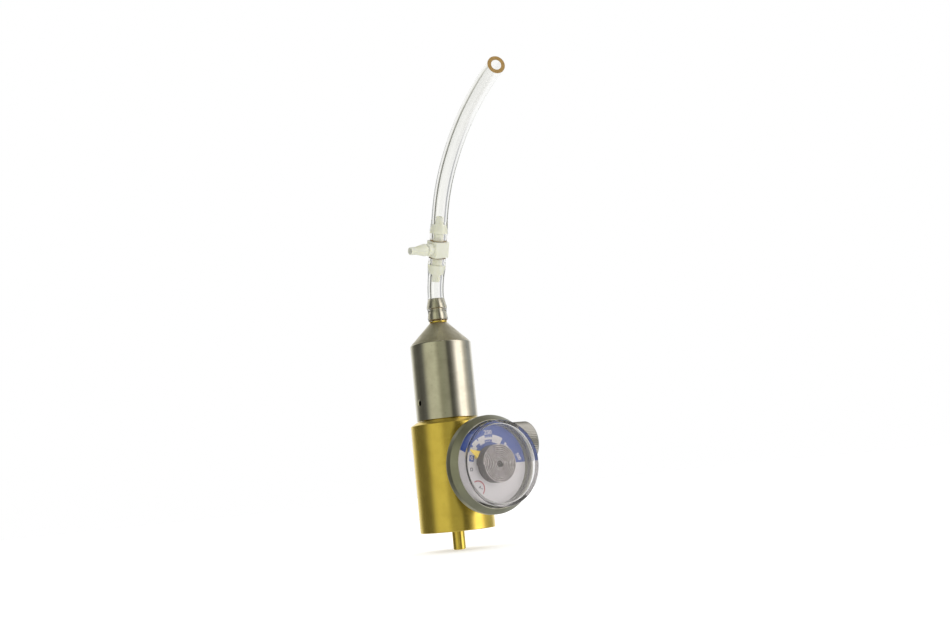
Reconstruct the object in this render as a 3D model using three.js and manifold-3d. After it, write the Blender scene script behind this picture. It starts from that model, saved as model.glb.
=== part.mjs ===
// Fixed-flow calibration gas regulator with its pressure gauge, on/off knob, hose tee and clear hoses.
// Millimetres, +Z up the regulator's axis. The origin is the centre of the brass body's bottom face,
// where the neck of a gas cylinder's valve enters. The gauge looks along -Y and the knob is on +X.
import * as THREE from "three";
import { mergeVertices } from "three/addons/utils/BufferGeometryUtils.js";
import Module from "manifold-3d";

const wasm = await Module();
wasm.setup();

// ---------- driving dimensions ----------
const FIT = 0.3; // gap between pieces that rest on or sit in each other
const LAP = 0.1; // how far joined solids reach into each other, and cutters past a face
const PAST = 1; // how far a cutter starts outside the material
const INCH = 25.4;
const BODY = { radius: 0.625 * INCH, height: 46.5, rim: 0.4, chamferUp: 1.6, chamferIn: 2.7 };
const SOCKET = { radius: 7.94, depth: 13 }; // clears a 5/8 inch cylinder valve thread
const SPIGOT = { radius: 10.2, top: 53.5 }; // threaded collar that the bonnet screws on to
const SPIGOT_GROOVE = { bottom: 48.9, top: 50.9, depth: 1.4 };
const INLET_CHAMBER = { radius: 2, roof: 28 };
const PASSAGE = { toValve: 0.8, toNozzle: 0.9, nozzle: 0.7, toGauge: 0.7 }; // drilled radii
const PROBE = {
  radius: 2.64, tip: -8, rounding: 0.6, bore: 0.6, flange: 4.6, flangeHeight: 2.4, thread: 3.4, threadTop: 19.6,
};
const GASKET = { inner: 5.6, outer: 7.5, bottom: 11.4 };
const FILTER = { radius: 3.4, bottom: 20, top: 22.4 };
const BONNET = {
  radius: 13.05, bottom: 46.8, edge: 0.3, shoulder: 79.1, top: 88.4,
  mouth: 3.75, bore: 10.6, boreTop: 75.4, roof: 80.6,
};
const VENT = { radius: 1.15, height: 54.3 };
const PISTON = { radius: 10.2, bottom: 68, top: 74, stem: 2.4, stemBottom: 41.2, bore: 0.9, boreBottom: 44 };
const STEM_GROOVE = { bottom: 47.4, top: 49, depth: 0.9 };
const HEAD_GROOVE = { bottom: 69.8, top: 72.2, depth: 1.5 };
const SEAT = { radius: 1.7, pocket: 1.9, pocketDepth: 1.2, height: 0.9 };
const CROSS_HOLE = { radius: 0.6, height: 44.6, reach: 4 };
const PISTON_BORE = { radius: 2.7, bottom: 39 };
const NOZZLE = { bore: 0.6, radius: 2.4, top: 40.1 };
const PISTON_LIFT = 0.7; // gap between the nozzle and the open piston's seat
const SPRING = { coil: 6.5, wire: 0.8, turns: 5 };
const BARB = {
  ridge: 3.35, ridgeFlat: 0.3, neck: 2.6, tip: 2.35, bottom: 89.4, top: 98.9,
  shank: 2.4, shankBottom: 81, bore: 0.9, seatBore: 1.2, seatTop: 84.5,
};
const ORIFICE = { bore: 0.25, radius: 1, bottom: 81.4, top: 84 };
const WASHER_GAP = 0.05;
const GAUGE = {
  height: 25.6, caseBack: 26.4, caseRadius: 20, caseInside: 18.9, caseFront: 34.5, lensRadius: 17.3,
};
// [radius, height above the case's back]
const CASE_BACK_EDGE = [[16.5, 0], [19.2, 1.2], [GAUGE.caseRadius, 2.8]];
const CASE_LIP = { radius: 17.9, side: 32, grip: 33.6, gripBottom: 32.3 };
const LENS = {
  inside: 16.1, insideEdge: 0.5, flange: 18.6, back: 30.9, flangeTop: 31.9,
  thickness: 1.1, front: 39.5, edge: 0.3,
};
const LENS_SEAL = { inner: 17.3, outer: 18.6, bottom: 29.9, top: 30.6 };
const STEM_HOLE = 3.4; // radius in the case's back and in the dial
const GAUGE_STEM = {
  thread: 3.9, threadBottom: 8, collar: 5, collarBottom: 16.3, across: 11, hexBottom: 16.8, hexTop: 23.6,
  neck: 3, top: 31.3, bore: 0.5, mouth: 1.5, mouthTop: 11.6, boreTop: 30,
};
const RESTRICTOR = { bore: 0.2, radius: 1.2, bottom: 8.3, top: 11 };
const DIAL = { radius: 17, bottom: 29.9, top: 30.4 };
const COIL = { bottom: 31.7, top: 37, outer: 8, inner: 1.5, turns: 8.5, strip: 0.42, stepsPerTurn: 16 };
const ARBOR = { radius: 0.75, drop: 0.4 };
const POINTER = {
  bottom: 30.9, thickness: 0.35, raised: 32.85, hubInner: 3.2, hubOuter: 4.2,
  hubHalf: 0.9, root: 8.3, rootHalf: 1.6, riser: 0.35, riserHalf: 1.2, tip: 12.9, tipHalf: 0.12, restDegrees: 149,
};
const STOP_PIN = { radius: 0.35, at: 5.6, beyondDegrees: 18 }; // stands under the coil, beside the pointer's arm
const VALVE = { height: 34.2, seat: 4.5, chamber: 3.2, chamberEnd: 10.3, thread: 5.2 };
const POPPET = { front: 5.9, back: 8.6, radius: 2.7, chamfer: 0.6, tail: 1, tailEnd: 12 };
const POPPET_SEAL = { radius: 1.6, gap: 0.2 };
const POPPET_TRAVEL = 1.25;
const GLAND = { thread: 4.9, across: 11, hexBottom: 16.4, hexTop: 20.3, nose: 4, top: 22.8, bore: 2.25 };
const STEM = { radius: 2, top: 38, chamfer: 0.3, grooveRadius: 1.2, grooveBottom: 18.4, grooveTop: 19.8 };
const KNOB = {
  radius: 9.5, inner: 23.4, outer: 40, edge: 0.9, recess: 6.4, recessDepth: 3.2, bore: 2.3, boreTop: 38.4,
};
const SET_SCREW = { radius: 1, hole: 1.25, at: 33, bottom: 2.4 };
const HOSE = { outer: 3.5, inner: 2, slack: 0.12 }; // slack: the stretched bore over a barb's ridge
// [radius, height] round the hose where it is stretched over the metal barb
const BARB_COLLAR = [[4.3, 89.4], [4.4, 90.1], [4.15, 92.8], [4.4, 94.9], [3.9, 97.6], [3.4, 99.6]];
const LOWER_HOSE_RISE = 3.9; // how far above the barb the hose turns
const TEE = {
  side: 7, bevel: 0.4, run: 14.1, branch: 14.7, neck: 2.05, ridge: 2.7, ridgeAt: 7, ridgeFlat: 0.3,
  coneEnd: 11.6, tip: 1.65, edge: 0.2, bore: 1,
};
const TEE_COLLAR = { mouth: 3.75, ridge: 3.95, end: 3.4, length: 1 };
const TEE_CENTRE = new THREE.Vector3(-1, -7.1, 119.4);
const TEE_LEAN = THREE.MathUtils.degToRad(23.4); // from upright
const TEE_HEADING = THREE.MathUtils.degToRad(-98.2); // the way it leans, from +X about +Z
const TEE_TWIST = THREE.MathUtils.degToRad(6.6); // turn about its own run
const UPPER_HOSE_ROUTE = [
  [-1.2, -8.6, 122.9], [-1.5, -10.6, 127.6], [-1.8, -12.7, 132.4], [-2.2, -15.9, 138.7],
  [-2.7, -20, 144.6], [-3.2, -24.7, 150], [-3.8, -30, 154.8], [-4.5, -35.7, 159.1],
  [-5.3, -41.7, 162.8], [-6.2, -48.1, 166.1], [-7.2, -54.6, 168.7], [-8.4, -61.4, 170.9],
  [-9.7, -68.2, 172.6], [-11.1, -75.1, 173.9], [-12.8, -82.1, 174.6],
];

// ---------- materials ----------
const material = (color, roughness, metalness, extra = {}) =>
  new THREE.MeshStandardMaterial({ color, roughness, metalness, ...extra });
const clear = (color, opacity) => material(color, 0.1, 0, { transparent: true, opacity });
const MATERIALS = {
  brass: material(0xb99a3c, 0.35, 1),
  nickel: material(0xa5a394, 0.3, 1),
  steel: material(0x8d8f80, 0.35, 1),
  springSteel: material(0x9a9a98, 0.3, 1),
  bronze: material(0x9c7a58, 0.7, 1),
  coilAlloy: material(0xa79a94, 0.3, 1),
  rubber: material(0x1c1c1c, 0.8, 0),
  sealPlastic: material(0xe8e4d8, 0.5, 0),
  dialPaint: material(0xe4e6ea, 0.5, 0),
  pointerPaint: material(0xe8c832, 0.5, 0),
  tee: material(0xdfe0cc, 0.45, 0),
  hose: clear(0xf2f2ee, 0.4),
  lens: clear(0xf4f6f8, 0.3),
};

// ---------- solids ----------
function solidOf(geometry) {
  const bare = new THREE.BufferGeometry();
  const whole = geometry.index ? geometry.toNonIndexed() : geometry;
  bare.setAttribute("position", whole.getAttribute("position"));
  const merged = mergeVertices(bare, 1e-4);
  const triVerts = new Uint32Array(merged.index.array);
  const make = () =>
    new wasm.Manifold(
      new wasm.Mesh({ numProp: 3, vertProperties: merged.attributes.position.array, triVerts }),
    );
  const solid = make();
  if (solid.volume() > 0) return solid;
  for (let i = 0; i < triVerts.length; i += 3)
    [triVerts[i + 1], triVerts[i + 2]] = [triVerts[i + 2], triVerts[i + 1]];
  return make();
}

function geometryOf(solid) {
  const mesh = solid.getMesh();
  const geometry = new THREE.BufferGeometry();
  const points = new Float32Array(mesh.numVert * 3);
  for (let i = 0; i < mesh.numVert; i++)
    for (let k = 0; k < 3; k++) points[3 * i + k] = mesh.vertProperties[mesh.numProp * i + k];
  geometry.setAttribute("position", new THREE.BufferAttribute(points, 3));
  geometry.setIndex([...mesh.triVerts]);
  const faceted = geometry.toNonIndexed();
  faceted.computeVertexNormals();
  return faceted;
}

const join = (...solids) => solids.reduce((a, b) => a.add(b));
const cut = (from, ...tools) => tools.reduce((a, b) => a.subtract(b), from);

// Revolves [radius, height] pairs about Z. The profile starts and ends on the axis.
function turned(profile, segments = 40) {
  const points = profile.map(([r, z]) => new THREE.Vector2(r, z));
  return solidOf(new THREE.LatheGeometry(points, segments).rotateX(Math.PI / 2));
}

// The same for a ring, whose profile closes on itself off the axis.
const ring = (profile, segments) => turned([...profile, profile[0]], segments);

const rod = (radius, bottom, top, segments = 24) =>
  turned([[0, bottom], [radius, bottom], [radius, top], [0, top]], segments);
const tube = (inner, outer, bottom, top, segments = 32) =>
  ring([[inner, bottom], [outer, bottom], [outer, top], [inner, top]], segments);

function roundSeal(major, minor, height, segments = 24) {
  const sides = 6;
  const profile = [];
  for (let i = 0; i < sides; i++) {
    const angle = (2 * Math.PI * i) / sides;
    profile.push([major + minor * Math.cos(angle), height + minor * Math.sin(angle)]);
  }
  return ring(profile, segments);
}

function hexagon(acrossFlats, bottom, top) {
  const radius = acrossFlats / Math.sqrt(3);
  const geometry = new THREE.CylinderGeometry(radius, radius, top - bottom, 6).rotateX(Math.PI / 2);
  return solidOf(geometry.translate(0, 0, (top + bottom) / 2));
}

// A drilled hole between two points.
function drill(radius, from, to, segments = 16) {
  const a = new THREE.Vector3(...from);
  const way = new THREE.Vector3(...to).sub(a);
  const turn = new THREE.Quaternion().setFromUnitVectors(new THREE.Vector3(0, 0, 1), way.clone().normalize());
  const geometry = new THREE.CylinderGeometry(radius, radius, way.length(), segments).rotateX(Math.PI / 2);
  geometry.translate(0, 0, way.length() / 2).applyQuaternion(turn).translate(a.x, a.y, a.z);
  return solidOf(geometry);
}

function circleShape(radius, sides) {
  const points = [];
  for (let i = 0; i < sides; i++) {
    const angle = (2 * Math.PI * i) / sides;
    points.push(new THREE.Vector2(radius * Math.cos(angle), radius * Math.sin(angle)));
  }
  return new THREE.Shape(points);
}

function sweep(curve, radius, steps, sides = 12) {
  const options = { steps, extrudePath: curve, bevelEnabled: false, curveSegments: 1 };
  return solidOf(new THREE.ExtrudeGeometry(circleShape(radius, sides), options));
}

// ---------- nodes and groups ----------
const regulator = new THREE.Group();
const gaugeGroup = new THREE.Group(); // its +Z is the way the gauge looks, and its +Y is up
gaugeGroup.position.z = GAUGE.height;
gaugeGroup.rotation.x = Math.PI / 2;
const valveGroup = new THREE.Group(); // its +Z is the knob's way out
valveGroup.position.z = VALVE.height;
valveGroup.rotation.y = Math.PI / 2;
const teeGroup = new THREE.Group(); // its +Z is the tee's run, and its branch is on -X
const leanAxis = new THREE.Vector3(-Math.sin(TEE_HEADING), Math.cos(TEE_HEADING), 0);
teeGroup.position.copy(TEE_CENTRE);
teeGroup.quaternion
  .setFromAxisAngle(leanAxis, TEE_LEAN)
  .multiply(new THREE.Quaternion().setFromAxisAngle(new THREE.Vector3(0, 0, 1), TEE_TWIST));
regulator.add(gaugeGroup, valveGroup, teeGroup);

function node(name, solid, look, group = regulator) {
  const mesh = new THREE.Mesh(geometryOf(solid), look);
  mesh.name = name;
  group.add(mesh);
}

// The outline of a groove in a turned piece, from its lower lip to its upper one.
const groove = (radius, { bottom, top, depth }) =>
  [[radius, bottom], [radius - depth, bottom], [radius - depth, top], [radius, top]];

// ---------- brass body and inlet ----------
const gaugePortEnd = GAUGE_STEM.threadBottom - FIT - 0.2;

function regulatorBody() {
  const { radius, height, rim, chamferUp, chamferIn } = BODY;
  const outside = turned([
    [0, 0], [radius - rim, 0], [radius, rim], [radius, height - chamferUp],
    [radius - chamferIn, height], [SPIGOT.radius, height],
    ...groove(SPIGOT.radius, SPIGOT_GROOVE), [SPIGOT.radius, SPIGOT.top], [0, SPIGOT.top],
  ], 48);
  const chamber = [0, 0, GAUGE.height + PASSAGE.toValve];
  const valveInlet = [VALVE.seat + INLET_CHAMBER.radius, 0, VALVE.height - INLET_CHAMBER.radius];
  const alongValve = (x) => [x, 0, VALVE.height];
  const alongGauge = (y) => [0, -y, GAUGE.height];
  return cut(
    outside,
    rod(SOCKET.radius, -PAST, SOCKET.depth, 40),
    rod(FILTER.radius + FIT, SOCKET.depth - PAST, FILTER.top + 2 * FIT),
    rod(INLET_CHAMBER.radius, FILTER.top, INLET_CHAMBER.roof),
    drill(PASSAGE.toValve, chamber, valveInlet),
    drill(VALVE.chamber, alongValve(VALVE.seat), alongValve(VALVE.chamberEnd + LAP), 24),
    drill(VALVE.thread, alongValve(VALVE.chamberEnd), alongValve(radius + PAST), 24),
    drill(PASSAGE.toNozzle, alongValve(-PASSAGE.toNozzle), alongValve(VALVE.seat + LAP)),
    drill(PASSAGE.nozzle, alongValve(0), [0, 0, PISTON_BORE.bottom + LAP]),
    rod(PISTON_BORE.radius, PISTON_BORE.bottom, SPIGOT.top + PAST),
    drill(GAUGE_STEM.thread + FIT, alongGauge(gaugePortEnd), alongGauge(radius + PAST), 24),
    drill(PASSAGE.toGauge, alongGauge(-FIT), alongGauge(gaugePortEnd + LAP)),
  );
}

function inletProbe() {
  const { radius, tip, rounding, bore, flange, flangeHeight, thread, threadTop } = PROBE;
  const flangeTop = SOCKET.depth - FIT;
  const flangeBottom = flangeTop - flangeHeight;
  const middle = rounding * (1 - Math.SQRT1_2);
  const pin = turned([
    [0, tip], [radius - rounding, tip], [radius - middle, tip + middle], [radius, tip + rounding],
    [radius, flangeBottom + LAP], [0, flangeBottom + LAP],
  ], 28);
  const outside = join(pin, hexagon(2 * flange, flangeBottom, flangeTop), rod(thread, flangeTop - LAP, threadTop));
  return cut(outside, rod(bore, tip - PAST, threadTop + PAST, 12));
}

node("regulator_body", regulatorBody(), MATERIALS.brass);
node("inlet_probe", inletProbe(), MATERIALS.brass);
node("inlet_gasket", tube(GASKET.inner, GASKET.outer, GASKET.bottom, SOCKET.depth - FIT, 36), MATERIALS.rubber);
node("inlet_filter", rod(FILTER.radius, FILTER.bottom, FILTER.top), MATERIALS.bronze);

// ---------- nickel bonnet, piston and outlet barb ----------
function bonnet() {
  const { radius, bottom, edge, shoulder, top, mouth, bore, boreTop, roof } = BONNET;
  const barbHole = BARB.shank + FIT;
  const outside = turned([
    [0, bottom], [radius - edge, bottom], [radius, bottom + edge], [radius, shoulder - edge],
    [radius - edge / 2, shoulder + edge / 2], [mouth, top], [0, top],
  ], 48);
  const hollow = turned([
    [0, bottom - PAST], [bore, bottom - PAST], [bore, boreTop],
    [barbHole, roof], [barbHole, top + PAST], [0, top + PAST],
  ]);
  const vent = drill(VENT.radius, [-radius - PAST, 0, VENT.height], [-bore + PAST, 0, VENT.height], 20);
  return cut(outside, hollow, vent);
}

function piston() {
  const { radius, bottom, top, stem, stemBottom, bore, boreBottom } = PISTON;
  const { height, reach } = CROSS_HOLE;
  const outside = turned([
    [0, stemBottom], [stem, stemBottom], ...groove(stem, STEM_GROOVE), [stem, bottom],
    [radius, bottom], ...groove(radius, HEAD_GROOVE), [radius, top], [0, top],
  ], 28);
  return cut(
    outside,
    rod(bore, boreBottom, top + PAST, 12),
    rod(SEAT.pocket, stemBottom - PAST, stemBottom + SEAT.pocketDepth, 16),
    drill(CROSS_HOLE.radius, [-reach, 0, height], [reach, 0, height], 12),
  );
}

function pistonSpring() {
  const bottom = SPIGOT.top + FIT + SPRING.wire;
  const rise = PISTON.bottom - FIT - SPRING.wire - bottom;
  class Helix extends THREE.Curve {
    getPoint(t, target = new THREE.Vector3()) {
      const angle = 2 * Math.PI * SPRING.turns * t;
      return target.set(SPRING.coil * Math.cos(angle), SPRING.coil * Math.sin(angle), bottom + rise * t);
    }
  }
  const stepsPerTurn = 14;
  return sweep(new Helix(), SPRING.wire, SPRING.turns * stepsPerTurn, 6);
}

function outletBarb() {
  const { ridge, ridgeFlat, neck, tip, bottom, top, shank, shankBottom, bore, seatBore, seatTop } = BARB;
  const edge = 0.2;
  const slope = (ridge - neck) * (2 / 3);
  const oneRidge = (foot) => [[neck, foot], [ridge, foot + slope], [ridge - edge / 4, foot + slope + ridgeFlat]];
  const middle = (bottom + top) / 2 + edge;
  const outside = turned([
    [0, shankBottom], [shank, shankBottom], [shank, bottom - FIT], [neck, bottom - FIT],
    ...oneRidge(bottom), ...oneRidge(middle), [tip, top - edge], [tip - edge, top], [0, top],
  ], 20);
  return cut(outside, rod(seatBore, shankBottom - PAST, seatTop, 12), rod(bore, seatTop - LAP, top + PAST, 12));
}

node("bonnet", bonnet(), MATERIALS.nickel);
const grooveMiddle = ({ bottom, top }) => (bottom + top) / 2;
node("bonnet_seal", roundSeal(9.7, 0.72, grooveMiddle(SPIGOT_GROOVE)), MATERIALS.rubber);
node(
  "regulator_nozzle",
  tube(NOZZLE.bore, NOZZLE.radius, PISTON_BORE.bottom + FIT, NOZZLE.top, 20),
  MATERIALS.brass,
);
node("piston", piston(), MATERIALS.brass);
node(
  "piston_seat",
  rod(SEAT.radius, NOZZLE.top + PISTON_LIFT, PISTON.stemBottom + SEAT.height, 16),
  MATERIALS.sealPlastic,
);
node("piston_head_seal", roundSeal(9.6, 0.8, grooveMiddle(HEAD_GROOVE)), MATERIALS.rubber);
node("piston_stem_seal", roundSeal(2.05, 0.5, grooveMiddle(STEM_GROOVE), 20), MATERIALS.rubber);
node("piston_spring", pistonSpring(), MATERIALS.springSteel);
node(
  "outlet_washer",
  tube(BARB.shank + FIT, BONNET.mouth, BONNET.top + WASHER_GAP, BARB.bottom - FIT - WASHER_GAP),
  MATERIALS.brass,
);
node("outlet_barb", outletBarb(), MATERIALS.nickel);
node("flow_orifice", tube(ORIFICE.bore, ORIFICE.radius, ORIFICE.bottom, ORIFICE.top, 16), MATERIALS.brass);

// ---------- pressure gauge ----------
function gaugeStem() {
  const { thread, threadBottom, collar, collarBottom, across, hexBottom, hexTop, neck, top } = GAUGE_STEM;
  const { bore, mouth, mouthTop, boreTop } = GAUGE_STEM;
  const outside = join(
    rod(thread, threadBottom, collarBottom),
    rod(collar, collarBottom - LAP, hexBottom),
    hexagon(across, hexBottom - LAP, hexTop),
    rod(neck, hexTop - LAP, top),
  );
  return cut(outside, rod(mouth, threadBottom - PAST, mouthTop, 16), rod(bore, mouthTop - LAP, boreTop, 12));
}

function gaugeCase() {
  const { caseBack, caseRadius, caseInside, caseFront, lensRadius } = GAUGE;
  const { radius, side, grip, gripBottom } = CASE_LIP;
  const lip = lensRadius + FIT;
  return ring([
    [STEM_HOLE, caseBack], ...CASE_BACK_EDGE.map(([r, z]) => [r, caseBack + z]),
    [caseRadius, side], [radius, caseFront], [lip, caseFront], [lip, grip],
    [caseInside, gripBottom], [caseInside, caseBack + 1], [STEM_HOLE, caseBack + 1],
  ], 40);
}

function gaugeLens() {
  const { lensRadius } = GAUGE;
  const { inside, insideEdge, flange, back, flangeTop, thickness, front, edge } = LENS;
  const ceiling = front - thickness;
  return turned([
    [0, ceiling], [inside - insideEdge, ceiling], [inside, ceiling - insideEdge], [inside, back],
    [flange, back], [flange, flangeTop], [lensRadius, flangeTop + edge], [lensRadius, front - edge],
    [lensRadius - edge, front], [0, front],
  ], 40);
}

// A flat strip wound in a spiral, as wide as the coil is deep.
function bourdonCoil() {
  const steps = Math.round(COIL.turns * COIL.stepsPerTurn);
  const pitch = (COIL.outer - COIL.inner) / COIL.turns;
  const side = (start) => {
    const points = [];
    for (let i = 0; i <= steps; i++) {
      const turns = (COIL.turns * i) / steps;
      const angle = 2 * Math.PI * turns;
      const r = start + pitch * turns;
      points.push(new THREE.Vector2(r * Math.cos(angle), r * Math.sin(angle)));
    }
    return points;
  };
  const shape = new THREE.Shape([...side(COIL.inner), ...side(COIL.inner - COIL.strip).reverse()]);
  const options = { depth: COIL.top - COIL.bottom, bevelEnabled: false };
  return solidOf(new THREE.ExtrudeGeometry(shape, options).translate(0, 0, COIL.bottom));
}

// A flat prism over [x, y] corners.
function plate(corners, bottom, thickness) {
  const shape = new THREE.Shape(corners.map(([x, y]) => new THREE.Vector2(x, y)));
  const options = { depth: thickness, bevelEnabled: false };
  return solidOf(new THREE.ExtrudeGeometry(shape, options).translate(0, 0, bottom));
}

// The arm passes under the coil, and a riser beside the coil carries the blade.
function pointer() {
  const { bottom, thickness, raised, hubInner, hubOuter, hubHalf, root, rootHalf, riser, riserHalf } = POINTER;
  const { tip, tipHalf, restDegrees } = POINTER;
  const hub = (hubInner + hubOuter) / 2;
  const arm = [[hub, -hubHalf], [root + riser, -rootHalf], [root + riser, rootHalf], [hub, hubHalf]];
  const foot = [[root, -riserHalf], [root + riser, -riserHalf], [root + riser, riserHalf], [root, riserHalf]];
  const blade = [[root, -rootHalf], [tip, -tipHalf], [tip, tipHalf], [root, rootHalf]];
  return join(
    tube(hubInner, hubOuter, bottom, bottom + thickness, 28),
    plate(arm, bottom, thickness),
    plate(foot, bottom + thickness / 2, raised - bottom),
    plate(blade, raised, thickness),
  ).rotate([0, 0, restDegrees]);
}

function stopPin() {
  const { radius, at, beyondDegrees } = STOP_PIN;
  const angle = THREE.MathUtils.degToRad(POINTER.restDegrees + beyondDegrees);
  const geometry = geometryOf(rod(radius, DIAL.top + LAP, COIL.bottom - LAP, 10));
  return solidOf(geometry.translate(at * Math.cos(angle), at * Math.sin(angle), 0));
}

node("gauge_stem", gaugeStem(), MATERIALS.brass, gaugeGroup);
node(
  "gauge_restrictor",
  tube(RESTRICTOR.bore, RESTRICTOR.radius, RESTRICTOR.bottom, RESTRICTOR.top, 16),
  MATERIALS.brass,
  gaugeGroup,
);
node("gauge_case", gaugeCase(), MATERIALS.steel, gaugeGroup);
node("gauge_dial", tube(STEM_HOLE, DIAL.radius, DIAL.bottom, DIAL.top, 36), MATERIALS.dialPaint, gaugeGroup);
node(
  "lens_gasket",
  tube(LENS_SEAL.inner, LENS_SEAL.outer, LENS_SEAL.bottom, LENS_SEAL.top),
  MATERIALS.rubber,
  gaugeGroup,
);
node("gauge_lens", gaugeLens(), MATERIALS.lens, gaugeGroup);
node("bourdon_coil", bourdonCoil(), MATERIALS.coilAlloy, gaugeGroup);
node("coil_arbor", rod(ARBOR.radius, COIL.bottom, COIL.top - ARBOR.drop, 14), MATERIALS.coilAlloy, gaugeGroup);
node("pointer", pointer(), MATERIALS.pointerPaint, gaugeGroup);
node("pointer_stop", stopPin(), MATERIALS.brass, gaugeGroup);

// ---------- on/off valve and knob ----------
function valveGland() {
  const { thread, across, hexBottom, hexTop, nose, top, bore } = GLAND;
  const outside = join(
    rod(thread, VALVE.chamberEnd + FIT, hexBottom),
    hexagon(across, hexBottom - LAP, hexTop),
    rod(nose, hexTop - LAP, top),
  );
  return cut(outside, rod(bore, VALVE.chamberEnd - PAST, top + PAST, 20));
}

// The stem turns in place, and the thread in its hollow end draws the poppet's tail out.
function valveStem() {
  const { radius, top, chamfer, grooveRadius, grooveBottom, grooveTop } = STEM;
  const end = POPPET.back + POPPET_TRAVEL + FIT;
  const neck = { bottom: grooveBottom, top: grooveTop, depth: radius - grooveRadius };
  const outside = turned([
    [0, end], [radius - chamfer, end], [radius, end + chamfer], ...groove(radius, neck), [radius, top], [0, top],
  ], 20);
  return cut(outside, rod(POPPET.tail + FIT, end - PAST, POPPET.tailEnd + POPPET_TRAVEL + FIT, 16));
}

function knob() {
  const { radius, inner, outer, edge, recess, recessDepth, bore, boreTop } = KNOB;
  const outside = turned([
    [0, inner], [radius - edge, inner], [radius, inner + edge], [radius, outer - edge],
    [radius - edge, outer], [0, outer],
  ], 40);
  return cut(
    outside,
    rod(recess, inner - PAST, inner + recessDepth),
    rod(bore, inner, boreTop, 20),
    drill(SET_SCREW.hole, [0, PAST, SET_SCREW.at], [0, radius + PAST, SET_SCREW.at], 14),
  );
}

function valvePoppet() {
  const { front, back, radius, chamfer, tail, tailEnd } = POPPET;
  return turned([
    [0, front], [radius - chamfer, front], [radius, front + chamfer], [radius, back],
    [tail, back], [tail, tailEnd], [0, tailEnd],
  ], 20);
}

node("valve_poppet", valvePoppet(), MATERIALS.brass, valveGroup);
node(
  "poppet_seal",
  rod(POPPET_SEAL.radius, VALVE.seat + POPPET_SEAL.gap, POPPET.front - POPPET_SEAL.gap, 16),
  MATERIALS.sealPlastic,
  valveGroup,
);
node("valve_gland", valveGland(), MATERIALS.brass, valveGroup);
const stemSealAt = (STEM.grooveBottom + STEM.grooveTop) / 2;
node("stem_seal", roundSeal(1.72, 0.42, stemSealAt, 20), MATERIALS.rubber, valveGroup);
node("valve_stem", valveStem(), MATERIALS.steel, valveGroup);
node("knob", knob(), MATERIALS.nickel, valveGroup);
node(
  "knob_set_screw",
  drill(SET_SCREW.radius, [0, SET_SCREW.bottom, SET_SCREW.at], [0, KNOB.radius - PAST, SET_SCREW.at], 12),
  MATERIALS.springSteel,
  valveGroup,
);

// ---------- tee and hoses ----------
// One barbed stub of the tee, along +Z from inside the block.
function teeStub(length) {
  const { neck, ridge, ridgeAt, ridgeFlat, coneEnd, tip, edge } = TEE;
  return turned([
    [0, 0], [neck, 0], [neck, ridgeAt - edge], [ridge, ridgeAt], [ridge, ridgeAt + ridgeFlat],
    [tip + edge / 2, coneEnd], [tip, length - edge], [tip - edge, length], [0, length],
  ], 18);
}

const flip = (solid) => solid.rotate([180, 0, 0]);

function teeFitting() {
  const { side, bevel, run, branch, bore } = TEE;
  const half = side / 2;
  const flat = half - bevel;
  const face = new THREE.Shape([[-flat, -flat], [flat, -flat], [flat, flat], [-flat, flat]]
    .map(([x, y]) => new THREE.Vector2(x, y)));
  const options = { depth: 2 * flat, bevelThickness: bevel, bevelSize: bevel, bevelSegments: 1 };
  const block = solidOf(new THREE.ExtrudeGeometry(face, options).translate(0, 0, -flat));
  const stub = teeStub(run);
  return cut(
    join(block, stub, flip(stub), teeStub(branch).rotate([0, -90, 0])),
    rod(bore, -run - PAST, run + PAST, 12),
    drill(bore, [0, 0, 0], [-branch - PAST, 0, 0], 12),
  );
}

const teePoint = (z) => new THREE.Vector3(0, 0, z).applyQuaternion(teeGroup.quaternion).add(TEE_CENTRE);
const inTeeFrame = (solid) => {
  const geometry = geometryOf(solid).applyQuaternion(teeGroup.quaternion);
  return solidOf(geometry.translate(TEE_CENTRE.x, TEE_CENTRE.y, TEE_CENTRE.z));
};

// The stretched end of a hose over one of the tee's run stubs: what it adds outside, and its bore.
const teeFace = TEE.side / 2 + FIT;
function teeCollar() {
  const { mouth, ridge, end, length } = TEE_COLLAR;
  return turned([
    [0, teeFace], [mouth, teeFace], [ridge, TEE.ridgeAt], [ridge, TEE.ridgeAt + length],
    [end, TEE.coneEnd + length], [0, TEE.coneEnd + length],
  ], 18);
}
const teeCollarBore = () => rod(TEE.ridge + HOSE.slack, teeFace - PAST, TEE.run + LAP, 18);

function lowerHose() {
  const base = new THREE.Vector3(0, 0, BARB.bottom);
  const barbTop = new THREE.Vector3(0, 0, BARB.top);
  const bend = new THREE.QuadraticBezierCurve3(
    barbTop, new THREE.Vector3(0, 0, BARB.top + LOWER_HOSE_RISE), teePoint(-TEE.run),
  );
  const outer = new THREE.CurvePath();
  outer.add(new THREE.LineCurve3(base, barbTop));
  outer.add(bend);
  outer.add(new THREE.LineCurve3(teePoint(-TEE.run), teePoint(-teeFace)));
  const barbCollar = turned([[0, BARB.bottom], ...BARB_COLLAR, [0, BARB_COLLAR.at(-1)[1]]], 20);
  return cut(
    join(sweep(outer, HOSE.outer, 16), barbCollar, inTeeFrame(flip(teeCollar()))),
    sweep(bend, HOSE.inner, 5),
    rod(BARB.ridge + HOSE.slack, BARB.bottom - PAST, BARB.top + LAP, 20),
    inTeeFrame(flip(teeCollarBore())),
  );
}

function upperHose() {
  const route = new THREE.CatmullRomCurve3(UPPER_HOSE_ROUTE.map((p) => new THREE.Vector3(...p)));
  const steps = 12;
  const beyond = route.getTangent(1).multiplyScalar(PAST / 2).add(route.getPoint(1));
  const boreRoute = new THREE.CatmullRomCurve3([...route.getSpacedPoints(steps), beyond]);
  return cut(
    join(sweep(route, HOSE.outer, steps), inTeeFrame(teeCollar())),
    sweep(boreRoute, HOSE.inner, steps),
    inTeeFrame(teeCollarBore()),
  );
}

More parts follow.
